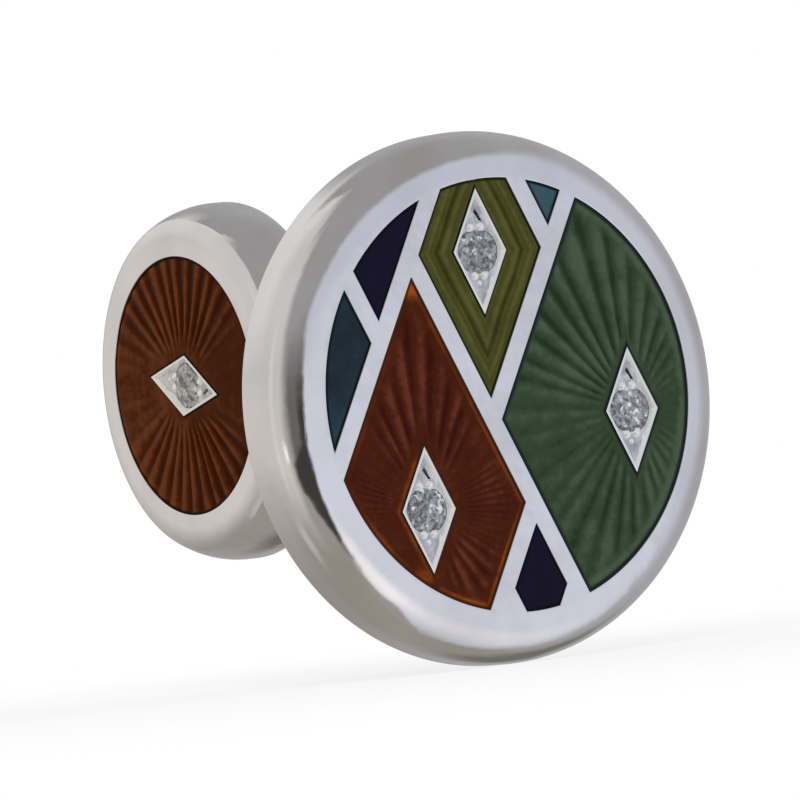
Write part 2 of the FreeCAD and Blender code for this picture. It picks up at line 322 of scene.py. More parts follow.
# Lines of the olive panel: share of the way from the setting, half width, and weight
OLIVE_LINES = ((0.16, 0.08, 0.5), (0.48, 0.07, 1.0), (0.64, 0.05, 0.55), (0.86, 0.06, 0.4))
OLIVE_CUT = 0.05
# Contrast of the crests, and how much darker enamel without engraving is
GREEN_PLAIN = 0.45
BROWN_CREST, BROWN_PLAIN = 0.88, 0.36
BACK_CREST, BACK_PLAIN = 1.12, 0.4


def bearing(points, centre, turn):
    """Angle of each point about a centre, in degrees from the pattern's upright, uneven as cut by hand."""
    offset = points - centre
    angle = np.arctan2(offset[..., 0], offset[..., 1]) - turn
    uneven = np.degrees(angle)
    for size, waves, phase in UNEVENNESS:
        uneven = uneven + size * np.sin(waves * angle + phase)
    return uneven


def flutes(angle, per_turn, fullness):
    """Ridges that spread from a centre, 0 in the groove and 1 on the crest, with one flank steeper."""
    phase = math.radians(1.0) * (angle - FLUTE_PHASE) * per_turn
    return 0.5 + 0.5 * np.cos(phase - fullness * np.sin(phase) - FLUTE_FLANK * np.cos(phase))


def enamel_piece(name, region, setting, head, slot, relief):
    """A closed enamel filling whose top follows a relief, with a hole where a setting stands in it."""
    turn, place, body = head
    centre = region.middle() if setting else middle_of(region)
    corners = region.corners(centre)
    if setting:
        corners += setting.corners(centre)
    directions = heading(angles_round(ENAMEL_COLUMNS, turn, corners))
    columns = len(directions)
    outer = region.outline(centre, directions) - ENAMEL_GAP
    inner = setting.outline(centre, directions) + ENAMEL_GAP if setting else np.full(columns, PINHOLE)
    reach = inner + (outer - inner) * ENAMEL_ROWS[:, None]
    points = centre + reach[..., None] * directions
    to_side = region.inside(points)
    to_setting = -setting.inside(points) if setting else np.full(to_side.shape, NO_SETTING)
    crest, depth, glow = relief(points, centre, turn, to_side, to_setting)
    rim_width = RIM_WIDTHS.get(name, RIM_WIDTH)
    # The rim dips the enamel a little along the walls, and the material paints the walls' shade on it
    rim = 1.0 - rise(RIM_START, rim_width, np.minimum(to_side, to_setting * SETTING_RIM))
    top = ENAMEL_RECESS + depth + RIM_DIP * rim

    def with_ends(rows, value):
        """Adds a row of one value below the inner and the outer edge."""
        end = np.full((1, columns), value)
        return np.concatenate([end, rows, end])

    flat = np.concatenate([points[:1], points, points[-1:]])
    shell = place(flat[..., 0], with_ends(top, CELL_DEPTH - FLOOR_GAP), flat[..., 1]).reshape(-1, 3)
    piece = make_piece(name, shell, ring_faces(len(flat), columns), body, slot, SMOOTH_ANGLE)
    add_values(piece, crest=with_ends(crest, 0.0), rim=with_ends(rim, 1.0), glow=with_ends(glow, 0.0))


def middle_of(region):
    """A point well inside a panel that the circle cuts short."""
    grid = np.linspace(-FRONT_ENAMEL_RADIUS, FRONT_ENAMEL_RADIUS, MIDDLE_STEPS)
    points = np.stack(np.meshgrid(grid, grid, indexing="ij"), -1).reshape(-1, 2)
    return points[region.inside(points) > 0].mean(axis=0)


def engraved(panel, to_side, to_setting):
    """How strong the engraving of a panel is, as it fades towards the setting and the sides."""
    from_setting, from_side = ENGRAVED[panel]
    return rise(*from_setting, to_setting) * rise(*from_side, to_side)


def fluted(panel, crest, offset, mask):
    """Crest and depth of flutes that get shallower where they are narrow and where the mask ends them."""
    deepest, slope = FLUTE_CUTS[panel]
    width = np.linalg.norm(offset, axis=-1) * FULL_TURN / FLUTES
    depth = np.minimum(deepest, slope * width) * mask * (1.0 - crest)
    return 1.0 - (1.0 - crest) * mask, depth


def green_relief(points, centre, turn, to_side, to_setting):
    """Even rays that end in a plain margin, with a light strip along the arc."""
    angle = bearing(points, centre, turn)
    lower_left = window(np.mod(angle, 360.0), *LOWER_LEFT)
    crest = flutes(angle + GREEN_SHIFT + LOWER_LEFT_SHIFT * lower_left, FLUTES, fullness=0.35)
    to_arc = FRONT_ENAMEL_RADIUS - np.linalg.norm(points - FRONT_HUB, axis=-1)
    mask = engraved("green", to_side, to_setting) * rise(0.2, 0.7, to_arc)
    # Fading the rays by direction is partly painted light
    mask = mask * np.interp(angle, GREEN_ANGLES, GREEN_STRENGTHS)
    crest, depth = fluted("green", crest, points - centre, mask)
    strip = rise(0.5, 0.25, to_arc) * rise(0.05, 0.2, to_arc)
    return crest - GREEN_PLAIN * (1.0 - mask) * (1.0 - strip), depth, np.zeros(crest.shape)


def brown_relief(points, centre, turn, to_side, to_setting):
    """Rays that are twice as fine towards the sides, and strongest above and below the setting."""
    angle = bearing(points, centre, turn)
    sideways = np.abs(np.sin(np.radians(angle)))
    crest = flutes(angle, FLUTES, fullness=0.2)
    fine = flutes(angle, 2 * FLUTES, fullness=0.2)
    crest = crest + (fine - crest) * rise(0.78, 0.95, sideways)
    # Strength of the rays by direction, partly painted light: they fade where they run sideways, where the
    # side light catches them least
    above = 1.0 - rise(22.0, 50.0, np.abs(angle))
    below = 0.8 * window(angle, 144.0, 24.0, 14.0)
    side = 0.4 * window(np.abs(angle), 78.0, 24.0, 16.0)
    strength = np.maximum(np.maximum(above, below), side) * 0.85 + 0.1
    mask = engraved("brown", to_side, to_setting) * strength
    crest, depth = fluted("brown", crest, points - centre, mask)
    lightness = BROWN_CREST * crest - BROWN_PLAIN * (1.0 - mask)
    return lightness, depth, brown_glow(points - centre, to_side, to_setting)


def brown_glow(offset, to_side, to_setting):
    """Painted glow of light on the enamel: a band along the sides, strongest to the right and lower down,
    beside the setting on its left, at the top tip, and in a spot below and left of the setting.
    """
    across, up = offset[..., 0], offset[..., 1]
    near = window(to_side, 0.13, 0.06, 0.05)
    low = rise(0.4, -0.6, up)
    rightward = (0.36 + 0.36 * low) * rise(-0.15, 0.5, across)
    leftward = (0.12 + 0.2 * low) * rise(0.3, 1.5, -across)
    beside = 0.5 * window(to_setting, 0.1, 0.08, 0.07) * rise(-0.05, -0.4, across)
    tip = rise(6.95, 7.4, up)
    foot = 1.4 * np.exp(-((across + 0.5) ** 2 / 0.12 + (up + 2.2) ** 2 / 0.08))
    return np.clip(near * np.maximum(rightward, leftward) + beside + tip + foot, 0.0, 1.0)


def olive_relief(points, centre, turn, to_side, to_setting):
    """Wavering lozenges, one in the other, about the setting."""
    across, up = np.moveaxis(points - centre, -1, 0)
    waver = 0.012 * np.sin(2.7 * up + 1.0) + 0.01 * np.sin(4.3 * across + up)
    share = to_setting / ((RISING_PITCH + FALLING_PITCH - BAND_WIDTH) / 2 - SETTING_HALF) + waver
    lines = [weight * window(share, middle, half, half) for middle, half, weight in OLIVE_LINES]
    crest = 1.0 - np.max(lines, axis=0)
    mask = engraved("olive", to_side, to_setting)
    return 1.0 - (1.0 - crest) * mask, OLIVE_CUT * mask * (1.0 - crest), np.zeros(crest.shape)


def plain_relief(level):
    """A relief without engraving, as light everywhere as the level says."""
    def relief(points, centre, turn, to_side, to_setting):
        still = np.zeros(to_side.shape)
        return still + level, still, still
    return relief


def side_relief(points, centre, turn, to_side, to_setting):
    """No engraving, but lighter towards the foot of the panel."""
    still = np.zeros(to_side.shape)
    return 0.12 + 0.45 * rise(-0.5, -2.8, points[..., 1] - centre[1]), still, still


def back_relief(points, centre, turn, to_side, to_setting):
    """Rays that are strongest upright, with painted light: lighter and with a painted glow on the side away
    from the front, darker towards it.
    """
    angle = bearing(points, centre, 0.0)
    across = points[..., 0]
    strength = 0.15 + 0.85 * rise(0.3, 0.8, np.abs(np.cos(np.radians(angle))))
    mask = engraved("back", to_side, to_setting) * strength
    crest = flutes(angle, FLUTES, fullness=0.0)
    crest, depth = fluted("back", crest, points - centre, mask)
    # Painted light: a glow along the edge away from the front, and a tone that darkens towards the front
    glow = 0.4 * window(to_side, 0.16, 0.06, 0.06) * rise(0.5, -2.5, across)
    painted_side_light = 0.12 - 0.32 * rise(-2.0, 3.5, across)
    return BACK_CREST * crest - BACK_PLAIN * (1.0 - mask) + painted_side_light, depth, glow


RELIEFS = {
    "green": green_relief,
    "brown": brown_relief,
    "olive": olive_relief,
    "navy_upper": plain_relief(level=0.6),
    "navy_lower": plain_relief(level=0.6),
    "teal_side": side_relief,
    "teal_top": plain_relief(level=0.95),
}


def setting_region(turn, middle):
    """The lozenge of a setting about a point of a face."""
    spans = [(middle @ normal, middle @ normal) for normal in Region(turn, None, None).normals]
    return Region(turn, *spans).widened(SETTING_HALF)


def panel_region(name):
    """The part of the front's enamel field that a panel covers."""
    half = BAND_WIDTH / 2
    rising = [(RISING_PHASE + count) * RISING_PITCH for count in PANELS[name][:2]]
    falling = [(FALLING_PHASE + count) * FALLING_PITCH for count in PANELS[name][2:]]
    spans = [(low + half, high - half) for low, high in (rising, falling)]
    return Region(FRONT_TURN, *spans, FRONT_ENAMEL_RADIUS, FRONT_HUB)


front_cells = {}
for panel, relief in RELIEFS.items():
    region = panel_region(panel)
    setting = setting_region(FRONT_TURN, region.middle()) if panel in JEWELLED else None
    front_cells[panel] = (region, setting)
    enamel_piece("enamel_" + panel, region, setting, FRONT, "enamel_" + panel.split("_")[0], relief)
far = 2 * BACK_ENAMEL_RADIUS
back_disc = Region(BACK_TURN, (-far, far), (-far, far), BACK_ENAMEL_RADIUS)
back_setting = setting_region(BACK_TURN, np.zeros(2))
enamel_piece("back_enamel", back_disc, back_setting, BACK, "enamel_brown", back_relief)


# Stones

FACETS = 8
GIRDLE_FACETS = 2 * FACETS
# Rings of a stone, at table, star, both edges of the girdle, and pavilion: radius, depth below the table,
# points, and their shift as a share of a step
STONE_RINGS = (
    (0.4, 0.0, FACETS, 0.0),
    (0.59, 0.05, FACETS, 0.5),
    (STONE_RADIUS - 0.01, 0.11, GIRDLE_FACETS, 0.0),
    (STONE_RADIUS - 0.01, 0.14, GIRDLE_FACETS, 0.0),
    (0.28, 0.64, FACETS, 0.5),
)
CULET_DEPTH = 0.88


def stone_piece(name, centre, head, spin):
    """A round brilliant with its table, star, kite, girdle and pavilion facets."""
    _, place, body = head
    points, starts = [], []
    for radius, depth, count, shift in STONE_RINGS:
        starts.append(len(points))
        for index in range(count):
            across, up = radius * heading(FULL_TURN * (index + shift) / count + spin)
            points.append((centre[0] + across, STONE_SINK + depth, centre[1] + up))
    culet = len(points)
    points.append((centre[0], STONE_SINK + CULET_DEPTH, centre[1]))
    table, star, girdle, edge, lower = starts
    faces = [tuple(range(table, table + FACETS))]
    for i in range(FACETS):
        before, after = (i - 1) % FACETS, (i + 1) % FACETS
        first, second, third = 2 * i, 2 * i + 1, (2 * i + 2) % GIRDLE_FACETS
        faces += [
            (table + i, star + i, table + after),
            (table + i, star + before, girdle + first, star + i),
            (star + i, girdle + first, girdle + second),
            (star + i, girdle + second, girdle + third),
            (lower + i, edge + second, edge + first),
            (lower + i, edge + third, edge + second),
            (lower + before, lower + i, edge + first),
            (culet, lower + i, lower + before),
        ]
    for i in range(GIRDLE_FACETS):
        after = (i + 1) % GIRDLE_FACETS
        faces.append((girdle + i, edge + i, edge + after, girdle + after))
    make_piece(name, place(*np.array(points).T), [face[::-1] for face in faces], body, "brilliant")


# Settings

# Beads of a setting: along the lozenge, beside its middle line, and radius
BEADS = (
    (0.8, -0.22, 0.2),
    (0.82, 0.18, 0.21),
    (-0.82, -0.18, 0.2),
    (-0.8, 0.2, 0.2),
    (-1.08, -0.04, 0.16),
)
BEAD_LEVEL = 0.165
BEAD_HEIGHT = 0.115
BEAD_COLUMNS = 24
BEAD_RINGS = 12
BEAD_CROWN = 0.03
BORDER = 0.1
SETTING_GAP = 0.006
# Outside and border of a setting: distance inside the lozenge, and depth
SETTING_EDGE = (
    (SETTING_GAP, 0.9), (SETTING_GAP, 0.03), (0.012, 0.008), (0.03, 0.002), (BORDER - 0.006, 0.002),
)
SETTING_COLUMNS = 240
WALL_ROWS = 44
WALL_TOP = 0.004
WALL_SLOPE = 1.8
WALL_POLISH = 0.8
# The material's hollow value: the tray keeps the plates' colour, and the seat and the hole below the stone
# take painted shade
TRAY_HOLLOW = 0.3
SEAT_DEPTH = 0.2
SEAT_HOLLOW = 0.9
DRILL_RADIUS = 0.1
DRILL_DEPTH = 0.95
# Floor of the tray, and how far and where it rises towards the tips
TRAY_DEPTH = 0.15
TIP_RISE = 0.06
TIP_START = (0.85, 1.25)
# The cut in one tip: depth, extent along the lozenge and beside its line, and how that line slants
NOTCH_DEPTH = 0.28
NOTCH_ALONG = (1.2, 0.16, 0.06)
NOTCH_BESIDE = (0.0, 0.035, 0.025)
NOTCH_SLANT = 0.7
NOTCH_MIDDLE = 1.3


def setting_piece(name, region, centre, head):
    """A lozenge tray with a bright border, cut slopes, beads at the ends of the stone, and a seat."""
    turn, place, body = head
    directions = heading(angles_round(SETTING_COLUMNS, turn, region.corners(centre)))
    edge = region.outline(centre, directions)
    level = np.ones(edge.shape)
    seat = STONE_RADIUS * level
    none = 0.0 * level
    bottom = (SETTING_DEPTH - FLOOR_GAP) * level

    def inset(width):
        return edge * (SETTING_HALF - width) / SETTING_HALF

    # Rows of points: reach from the centre, depth, and the two values for the material
    rows = [(inset(width), depth * level, none, none) for width, depth in SETTING_EDGE]
    start = inset(BORDER)
    for share in np.linspace(0.0, 1.0, WALL_ROWS):
        reach = start + (seat - start) * share
        tray = tray_depth(reach, directions, turn)
        wall = WALL_TOP + WALL_SLOPE * (SETTING_HALF * (1.0 - reach / edge) - BORDER)
        on_wall = wall < tray
        hollow, polish = np.where(on_wall, 0.0, TRAY_HOLLOW), np.where(on_wall, WALL_POLISH, 0.0)
        rows.append((reach, np.minimum(tray, wall), hollow, polish))
    rows += [
        (seat, SEAT_DEPTH * level, SEAT_HOLLOW * level, none),
        (DRILL_RADIUS * level, DRILL_DEPTH * level, level, none),
        (DRILL_RADIUS * level, bottom, level, none),
        (inset(SETTING_GAP), bottom, level, none),
    ]
    reach, depth, hollow, polish = (np.array(values) for values in zip(*rows))
    flat = centre + reach[..., None] * directions
    cloud = [place(flat[..., 0], depth, flat[..., 1]).reshape(-1, 3)]
    faces = [face[::-1] for face in ring_faces(len(rows), level.size)]
    hollow, polish = [hollow.ravel()], [polish.ravel()]
    for bead in BEADS:
        points, shell = bead_shell(bead, turn)
        faces += counted_from(sum(len(part) for part in cloud), shell)
        cloud.append(place(centre[0] + points[:, 0], points[:, 1], centre[1] + points[:, 2]))
        hollow.append(np.zeros(len(points)))
        polish.append(np.ones(len(points)))
    piece = make_piece(name, np.concatenate(cloud), faces, body, "setting_silver", SMOOTH_ANGLE)
    add_values(piece, hollow=np.concatenate(hollow), polish=np.concatenate(polish))


def bead_shell(bead, turn):
    """A low soft mound that grips the edge of the stone, as across, depth and up from the stone's middle."""
    along, beside, radius = bead
    share = np.linspace(1.0, BEAD_CROWN, BEAD_RINGS)[:, None]
    angles = even_angles(BEAD_COLUMNS)
    across = beside + radius * share * np.cos(angles)
    up = along + radius * share * np.sin(angles)
    depth = BEAD_LEVEL - BEAD_HEIGHT * (0.5 + 0.5 * np.cos(math.pi * share)) + 0.0 * angles
    points = np.stack([
        across * math.cos(turn) + up * math.sin(turn),
        depth,
        up * math.cos(turn) - across * math.sin(turn),
    ], -1).reshape(-1, 3)
    return points, capped_faces(BEAD_RINGS, BEAD_COLUMNS)


def tray_depth(reach, directions, turn):
    """Depth of a tray's floor: a plate at each tip, with a cut notch in one of them."""
    along = reach * (directions @ np.array((math.sin(turn), math.cos(turn))))
    beside = reach * (directions @ np.array((math.cos(turn), -math.sin(turn))))
    depth = TRAY_DEPTH - TIP_RISE * rise(*TIP_START, np.abs(along))
    line = beside + NOTCH_SLANT * (along - NOTCH_MIDDLE)
    return depth + NOTCH_DEPTH * (window(along, *NOTCH_ALONG) * window(line, *NOTCH_BESIDE))


for panel in JEWELLED:
    region, setting = front_cells[panel]
    stone_piece("stone_" + panel, region.middle(), FRONT, spin=0.2)
    setting_piece("setting_" + panel, setting, region.middle(), FRONT)
stone_piece("back_stone", np.zeros(2), BACK, spin=0.1)
setting_piece("back_setting", back_setting, np.zeros(2), BACK)


# Silver cases

# Arcs of the face's edge, each with its radius and the angles between which it turns
FRONT_ARCS = ((1.6, 0.0, 90.0),)
BACK_ARCS = ((1.3, 0.0, 37.0), (0.3, 37.0, 58.0), (2.87, 58.0, 90.0))
# Outer radius, arcs of the edge, rounding of the rear edge, thickness, and radii of plate seat and hollow
CASES = {
    "front": (8.993, FRONT_ARCS, 0.12, 2.52, 8.1, 7.7),
    "back": (6.193, BACK_ARCS, 0.6, 2.8, 5.2, 4.8),
}
CASE_COLUMNS = 600
ARC_POINTS = 15
REAR_POINTS = 9
HOLLOW_DEPTH = 1.22
PLATE_THICKNESS = 0.6
# A row of points this near an arc keeps the flat beside it flat
SUPPORT = 0.01
# The worn edge of a plate's seat: distance outside the seat, and depth
SEAT_EDGE = ((0.04, 0.0), (0.03, 0.0), (0.009, 0.009), (0.0, 0.03), (0.0, PLATE_THICKNESS))
# The worn edge of a cell: distance outside the cell, and depth
SOFT_EDGE = ((0.035, 0.0), (0.028, 0.0), (0.014, 0.005), (0.004, 0.016), (0.0, 0.032))
SAME_POINT = 1e-7


def case_profile(radius, arcs, rear_round, thickness, seat, hollow):
    """Radius and depth along a case, from its flat face round the rim to the bottom of its hollow."""
    turned_arcs = [(bend, np.radians(np.linspace(low, high, ARC_POINTS))) for bend, low, high in arcs]
    reach = radius - sum(bend * (math.sin(angles[-1]) - math.sin(angles[0])) for bend, angles in turned_arcs)
    depth = 0.0
    rear = thickness - rear_round
    rows = [(reach - SUPPORT, 0.0), (reach, 0.0)]
    for bend, angles in turned_arcs:
        for angle in angles[1:]:
            rows.append((
                reach + bend * (math.sin(angle) - math.sin(angles[0])),
                depth + bend * (math.cos(angles[0]) - math.cos(angle)),
            ))
        reach, depth = rows[-1]
    rows += [(radius, depth + SUPPORT), (radius, rear - SUPPORT)]
    for angle in np.radians(np.linspace(0.0, 90.0, REAR_POINTS)):
        rows.append((radius - rear_round * (1.0 - math.cos(angle)), rear + rear_round * math.sin(angle)))
    rows.append((radius - rear_round - SUPPORT, thickness))
    rows += [(seat + width, thickness - deep) for width, deep in SEAT_EDGE]
    rows += [(hollow, thickness - PLATE_THICKNESS), (hollow, HOLLOW_DEPTH)]
    return rows


def ring_of(reach, directions, centre, depth):
    """Points round a centre at one depth, as across, depth and up."""
    flat = centre + reach * directions
    return np.stack([flat[:, 0], np.full(len(flat), depth), flat[:, 1]], -1)


def cell_rings(region, setting):
    """Rings of points down a cell: its worn edge, wall and floor, and a setting's pocket in the floor."""
    centre = region.middle() if setting else middle_of(region)
    steps = [(region.widened(width), depth) for width, depth in SOFT_EDGE]
    steps.append((region, CELL_DEPTH))
    if setting:
        steps += [(setting, CELL_DEPTH), (setting, SETTING_DEPTH)]
    corners = [angle for step, _ in steps for angle in step.corners(centre)]
    directions = heading(angles_round(CASE_COLUMNS, 0.0, corners))
    return [
        ring_of(step.outline(centre, directions)[:, None], directions, centre, depth) for step, depth in steps
    ]


def case_piece(name, cells, head):
    """A round silver case with cells in its face, a rolled rim, and a plate's seat and a hollow behind."""
    _, place, body = head
    directions = heading(even_angles(CASE_COLUMNS))
    rim = [ring_of(reach, directions, 0.0, depth) for reach, depth in case_profile(*CASES[body])]
    cloud, faces, chosen, edges = [], [], [], []
    for rings in [rim] + [cell_rings(*cell) for cell in cells]:
        first = sum(len(part) for part in cloud)
        columns = len(rings[0])
        faces += counted_from(first, grid_faces(len(rings), columns))
        last = first + (len(rings) - 1) * columns
        faces.append(tuple(range(last, last + columns)))
        start = len(chosen)
        edges += [(start + index, start + (index + 1) % columns) for index in range(columns)]
        chosen += range(first, first + columns)
        cloud += rings
    cloud = np.concatenate(cloud)
    # The flat of the face: the triangles between its outer edge and the cells
    flat = cloud[chosen][:, (0, 2)]
    found = delaunay_2d_cdt([Vector(point) for point in flat], edges, [], 1, SAME_POINT)
    triangles, origins = found[2:4]
    holes = [region.widened(SOFT_EDGE[0][0]) for region, _ in cells]
    for triangle in triangles:
        corners = [origins[corner][0] for corner in triangle]
        middle = flat[corners].mean(axis=0)
        if all(hole.inside(middle) < 0 for hole in holes):
            faces.append(tuple(chosen[corner] for corner in corners))
    piece = make_piece(name, place(*cloud.T), faces, body, "silver", CASE_SMOOTH_ANGLE)
    shell = bmesh.new()
    shell.from_mesh(piece.data)
    bmesh.ops.recalc_face_normals(shell, faces=shell.faces)
    shell.to_mesh(piece.data)
    shell.free()


case_piece("front_case", list(front_cells.values()), FRONT)
case_piece("back_case", [(back_disc, back_setting)], BACK)


# Materials

# Heights of waves and marks in the surfaces, in metres
METAL_RELIEF = 0.00002
ENAMEL_GRAIN = 0.00001


def new_material(name):
    material = bpy.data.materials.new(name)
    material.use_nodes = True
    return material, material.node_tree.nodes["Principled BSDF"], Builder(material.node_tree)


class Builder:
    """Adds nodes to a tree, and links their inputs."""

    def __init__(self, tree):
        self.tree = tree

    def node(self, kind, options=None, **inputs):
        made = self.tree.nodes.new(kind)
        for key, value in (options or {}).items():
            setattr(made, key, value)
        self.fill(made, **inputs)
        return made

    def fill(self, node, **inputs):
        for key, value in inputs.items():
            self.feed(node.inputs[key.replace("_", " ")], value)

    def feed(self, socket, value):
        if isinstance(value, bpy.types.NodeSocket):
            self.tree.links.new(value, socket)
        else:
            socket.default_value = value

    def noise(self, vector, scale, detail=3.0, roughness=0.55):
        made = self.node("ShaderNodeTexNoise", Vector=vector, Scale=scale, Detail=detail, Roughness=roughness)
        return made.outputs["Fac"]

    def chips(self, vector, scale):
        return self.node("ShaderNodeTexVoronoi", Vector=vector, Scale=scale).outputs["Color"]

    def ramp(self, value, low, high, to_low=0.0, to_high=1.0):
        made = self.node(
            "ShaderNodeMapRange", {"interpolation_type": "SMOOTHSTEP"}, Value=value,
            From_Min=low, From_Max=high, To_Min=to_low, To_Max=to_high,
        )
        return made.outputs["Result"]

    def maths(self, operation, first, second):
        made = self.node("ShaderNodeMath", {"operation": operation})
        self.feed(made.inputs[0], first)
        self.feed(made.inputs[1], second)
        return made.outputs["Value"]

    def mix(self, factor, first, second):
        made = self.node("ShaderNodeMix", {"data_type": "RGBA"})
        self.feed(made.inputs["Factor"], factor)
        self.feed(made.inputs[6], first)
        self.feed(made.inputs[7], second)
        return made.outputs[2]

    def mix_shaders(self, factor, first, second):
        made = self.node("ShaderNodeMixShader")
        for socket, value in zip(made.inputs, (factor, first, second)):
            self.feed(socket, value)
        return made.outputs["Shader"]

    def value(self, name):
        return self.node("ShaderNodeAttribute", {"attribute_name": name}).outputs["Fac"]

    def coordinates(self, scale=(1.0, 1.0, 1.0)):
        place = self.node("ShaderNodeTexCoord").outputs["Object"]
        return self.node("ShaderNodeMapping", Vector=place, Scale=scale).outputs["Vector"]

    def bump(self, height, strength, distance, **inputs):
        made = self.node("ShaderNodeBump", Height=height, Strength=strength, Distance=distance, **inputs)
        return made.outputs["Normal"]

    def seen_directly(self):
        """1 for what the camera sees, also mirrored or through a stone, and 0 for light that spreads."""
        path = self.node("ShaderNodeLightPath").outputs
        seen = self.maths("MAXIMUM", path["Is Camera Ray"], path["Is Glossy Ray"])
        return self.maths("MAXIMUM", seen, path["Is Transmission Ray"])


def shade(red, green, blue):
    """A colour given as it looks on a screen, from 0 to 255, as a linear colour."""
    linear = []
    for value in (red / 255.0, green / 255.0, blue / 255.0):
        linear.append(value / 12.92 if value <= 0.04045 else ((value + 0.055) / 1.055) ** 2.4)
    return linear + [1.0]


def silver_look(build, bright, dull, smooth, rough):
    """Polished metal with a cloudy polish and fine handling marks."""
    place = build.coordinates()
    cloud = build.noise(place, scale=260.0, detail=4.0)
    along = build.noise(build.coordinates((3.0, 1.0, 0.08)), scale=9000.0, detail=2.0)
    across = build.noise(build.coordinates((0.1, 1.0, 2.0)), scale=7000.0, detail=2.0)
    marks = build.maths("MAXIMUM", build.ramp(along, 0.62, 0.75), build.ramp(across, 0.64, 0.76))
    worn = build.maths("MULTIPLY", marks, build.ramp(build.noise(place, scale=600.0), 0.45, 0.7))
    wide = build.ramp(cloud, 0.3, 0.75, smooth, rough)
    wavy = build.bump(build.noise(place, scale=800.0, detail=2.0), 1.0, METAL_RELIEF)
    return dict(
        Base_Color=build.mix(build.ramp(cloud, 0.35, 0.7), shade(*bright), shade(*dull)),
        Metallic=1.0,
        Roughness=build.maths("ADD", wide, build.maths("MULTIPLY", worn, 0.1)),
        Normal=build.bump(worn, 0.05, METAL_RELIEF, Normal=wavy),
    )


def setting_look(build, border, bright, dull, shadow, bead):
    """Bright-cut metal, with a warm border, duller in the tray, and painted shade in the seat below the
    stone.
    """
    speckle = build.noise(build.coordinates(), scale=2600.0, detail=4.0, roughness=0.6)
    hollow, polish = build.value("hollow"), build.value("polish")
    in_tray = build.ramp(hollow, 0.05, 0.3)
    plate = build.mix(build.ramp(speckle, 0.35, 0.65), shade(*dull), shade(*bright))
    body = build.mix(in_tray, shade(*border), plate)
    # Painted shade in the seat and the hole below the stone
    body = build.mix(build.ramp(hollow, 0.5, 0.9), body, shade(*shadow))
    fine = build.ramp(speckle, 0.3, 0.7, to_low=0.1, to_high=0.22)
    soft = build.ramp(polish, 0.0, 1.0, to_low=0.0, to_high=0.3)
    return dict(
        Base_Color=build.mix(polish, body, shade(*bead)),
        Metallic=build.ramp(polish, 0.0, 1.0, to_low=1.0, to_high=0.5),
        Roughness=build.maths("MAXIMUM", fine, soft),
        Normal=build.bump(build.maths("MULTIPLY", speckle, in_tray), 0.25, METAL_RELIEF),
    )


def enamel_look(build, groove, base, crest, rim, gloss, glow=None, cloudy=0.25, grainy=0.1):
    """Glass over engraved metal: dark in the grooves, light on the crests, and darkest beside the silver,
    with painted shade of the cell wall along the rim.
    """
    place = build.coordinates()
    cloud = build.noise(place, scale=620.0, detail=5.0, roughness=0.6)
    grain = build.noise(place, scale=3800.0, detail=4.0, roughness=0.6)
    height = build.maths("ADD", build.value("crest"), build.ramp(cloud, 0.25, 0.75, -cloudy, cloudy))
    height = build.maths("ADD", height, build.ramp(grain, 0.3, 0.7, -grainy, grainy))
    body = build.mix(build.ramp(height, 0.0, 0.5), shade(*groove), shade(*base))
    body = build.mix(build.ramp(height, 0.5, 1.1), body, shade(*crest))
    # A painted glow of light, where the relief gives one
    if glow:
        patchy = build.ramp(cloud, 0.38, 0.62, to_low=0.25, to_high=1.0)
        body = build.mix(build.maths("MULTIPLY", build.value("glow"), patchy), body, shade(*glow))
    # The rim takes painted shade of the cell wall
    return dict(
        Base_Color=build.mix(build.ramp(build.value("rim"), 0.15, 0.95), body, shade(*rim)),
        Roughness=build.ramp(cloud, 0.2, 0.8, to_low=0.18, to_high=0.32),
        Specular_IOR_Level=gloss,
        Normal=build.bump(grain, 0.1, ENAMEL_GRAIN),
    )


def stone_look(build, dark, light, painted_glint):
    """Clear stone with painted reflections: chips of grey stand in for what its facets mirror and show
    through them, with painted glints.
    """
    place = build.coordinates()
    fine = build.maths("MULTIPLY", build.chips(place, scale=9500.0), 0.55)
    wide = build.maths("MULTIPLY", build.chips(place, scale=4500.0), 0.45)
    chips = build.maths("ADD", fine, wide)
    # The chips of grey are painted reflections, and the brightest chips painted glints
    body = build.mix(build.ramp(chips, 0.25, 0.7), shade(*dark), shade(*light))
    colour = build.mix(build.ramp(chips, 0.7, 0.77), body, shade(*painted_glint))
    return dict(Base_Color=colour, Transmission_Weight=0.12, Roughness=0.04, IOR=1.6)


